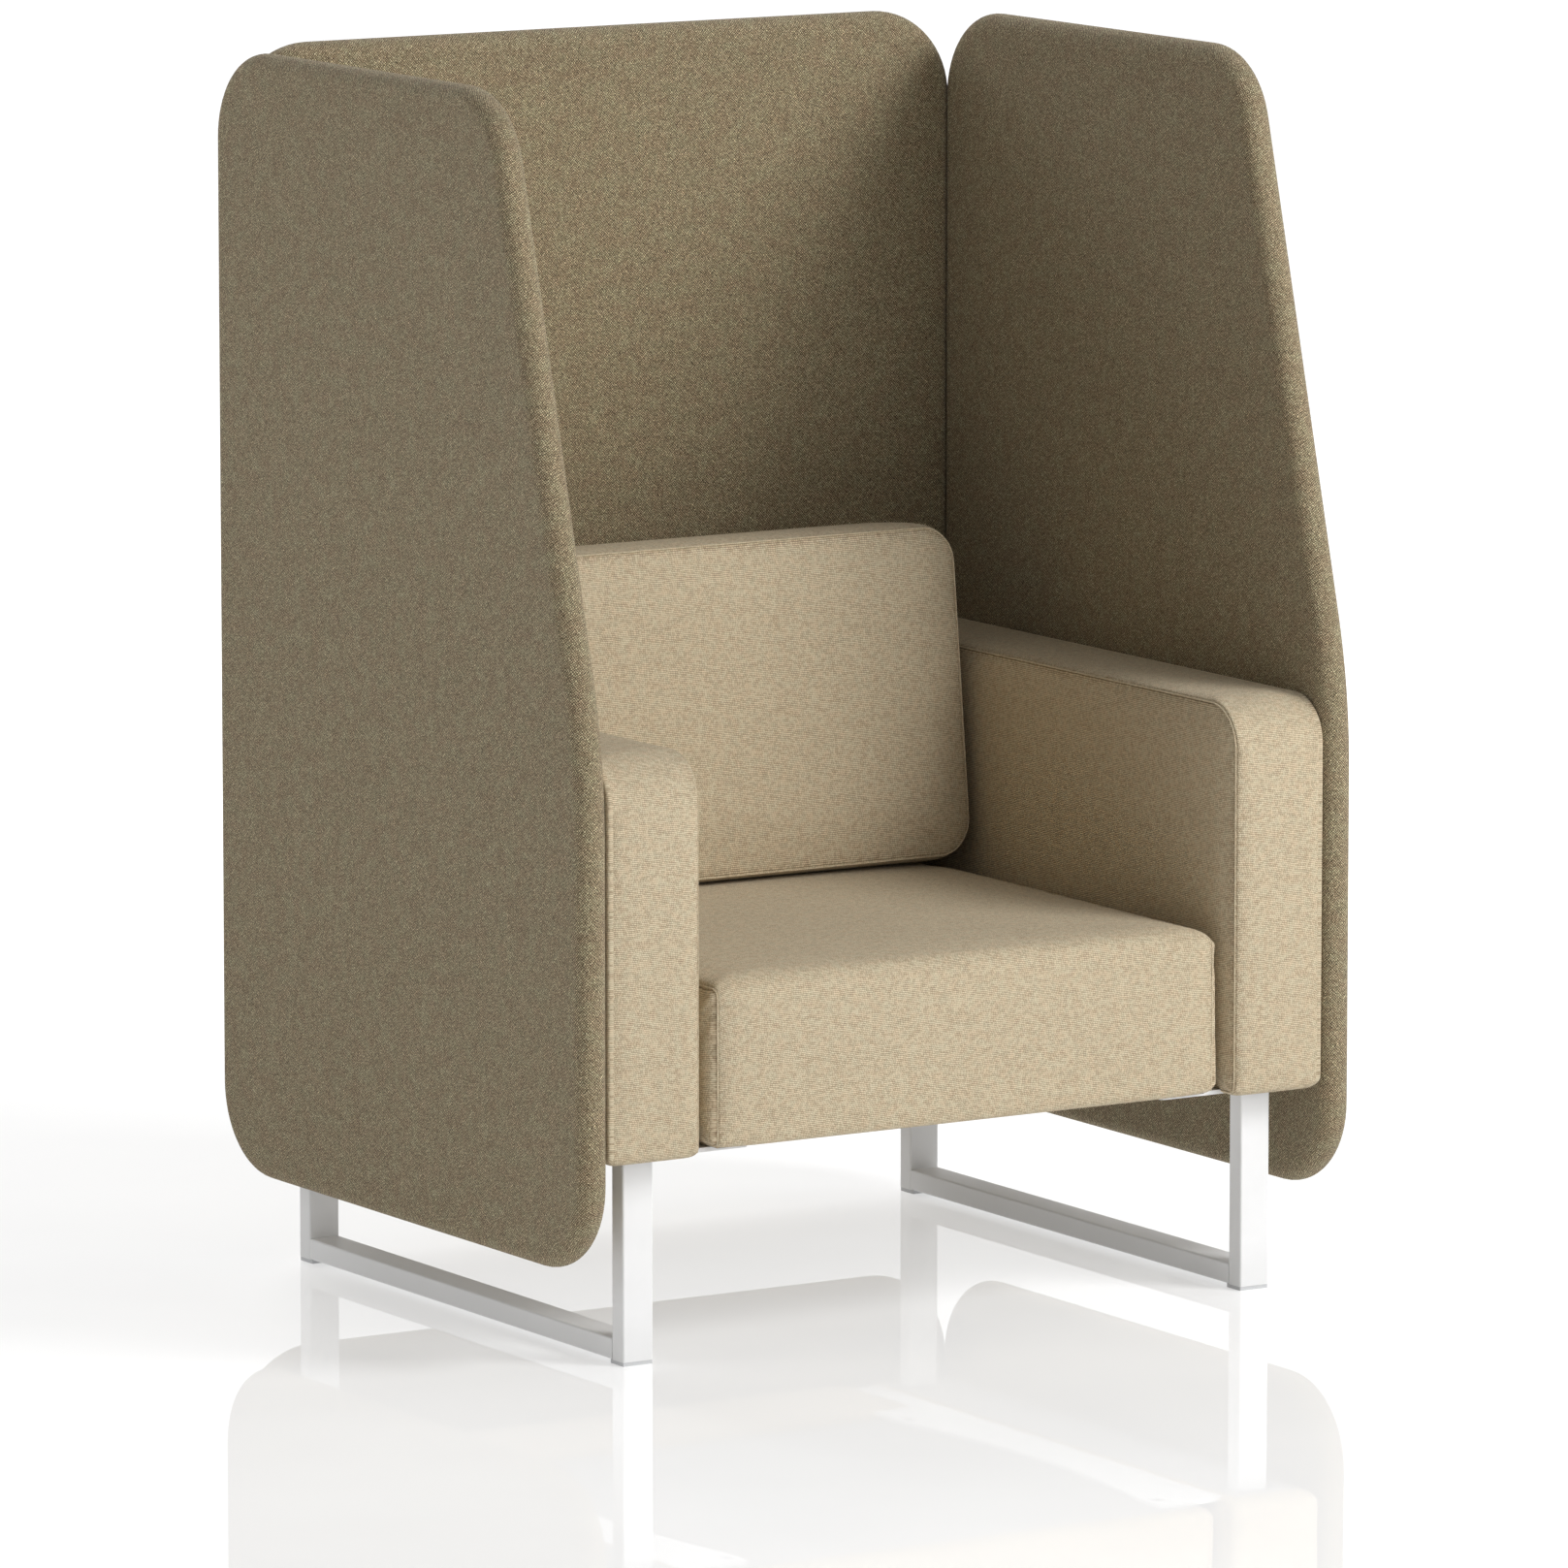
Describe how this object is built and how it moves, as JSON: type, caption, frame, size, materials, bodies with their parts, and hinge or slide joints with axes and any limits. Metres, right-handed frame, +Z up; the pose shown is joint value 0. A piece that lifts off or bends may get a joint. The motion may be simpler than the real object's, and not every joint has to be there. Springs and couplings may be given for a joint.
{
  "type": "privacy booth sofa",
  "caption": "Upholstered lounge seat with box arms and a leaning back cushion, enclosed by tall padded privacy screens at its sides and back, standing on steel sled legs.",
  "frame": {"origin": "on the floor, under the middle of the outline", "axes": "+X to the right as seen from the front, +Y from the open front to the back screen, +Z up"},
  "size_m": [1.048, 0.867, 1.4415],
  "materials": {
    "screen_fabric": "coarse mottled taupe weave",
    "seat_fabric": "fine ribbed beige weave",
    "powder_coat": "satin white powder coat",
    "glides": "moulded",
    "timber": "unfinished plywood",
    "foam": "open-cell foam",
    "webbing": "elastic strap",
    "bottom_cloth": "non-woven cloth",
    "fasteners": "zinc plated"
  },
  "bodies": {
    "root": {"back_bottom_board": "timber", "back_cover": "seat_fabric", "back_cushion_board": "timber", "back_cushion_cover": "seat_fabric", "back_cushion_foam": "foam", "back_foam": "foam", "back_front_board": "timber", "back_rear_board": "timber", "back_screen_core": "timber", "back_screen_cover": "screen_fabric", "back_screen_foam": "foam", "cushion_screws": "fasteners", "foot_glides": "glides", "left_arm_bottom_board": "timber", "left_arm_bottom_cloth": "bottom_cloth", "left_arm_cover": "seat_fabric", "left_arm_foam": "foam", "left_arm_front_board": "timber", "left_arm_inner_panel": "timber", "left_arm_outer_panel": "timber", "left_arm_rear_board": "timber", "left_arm_top_board": "timber", "left_back_panel": "timber", "left_floor_rail": "powder_coat", "left_front_leg": "powder_coat", "left_link_plate": "powder_coat", "left_rear_leg": "powder_coat", "left_screen_core": "timber", "left_screen_cover": "screen_fabric", "left_screen_foam": "foam", "left_seat_rail": "timber", "plate_bolts": "fasteners", "right_arm_bottom_board": "timber", "right_arm_bottom_cloth": "bottom_cloth", "right_arm_cover": "seat_fabric", "right_arm_foam": "foam", "right_arm_front_board": "timber", "right_arm_inner_panel": "timber", "right_arm_outer_panel": "timber", "right_arm_rear_board": "timber", "right_arm_top_board": "timber", "right_back_panel": "timber", "right_floor_rail": "powder_coat", "right_front_leg": "powder_coat", "right_link_plate": "powder_coat", "right_rear_leg": "powder_coat", "right_screen_core": "timber", "right_screen_cover": "screen_fabric", "right_screen_foam": "foam", "right_seat_rail": "timber", "screen_bolts": "fasteners", "screen_inserts": "fasteners", "seat_bottom_cloth": "bottom_cloth", "seat_corner_blocks": "timber", "seat_cover": "seat_fabric", "seat_foam": "foam", "seat_front_rail": "timber", "seat_rear_rail": "timber", "seat_webbing": "webbing", "tee_nuts": "fasteners"}
  },
  "joints": []
}
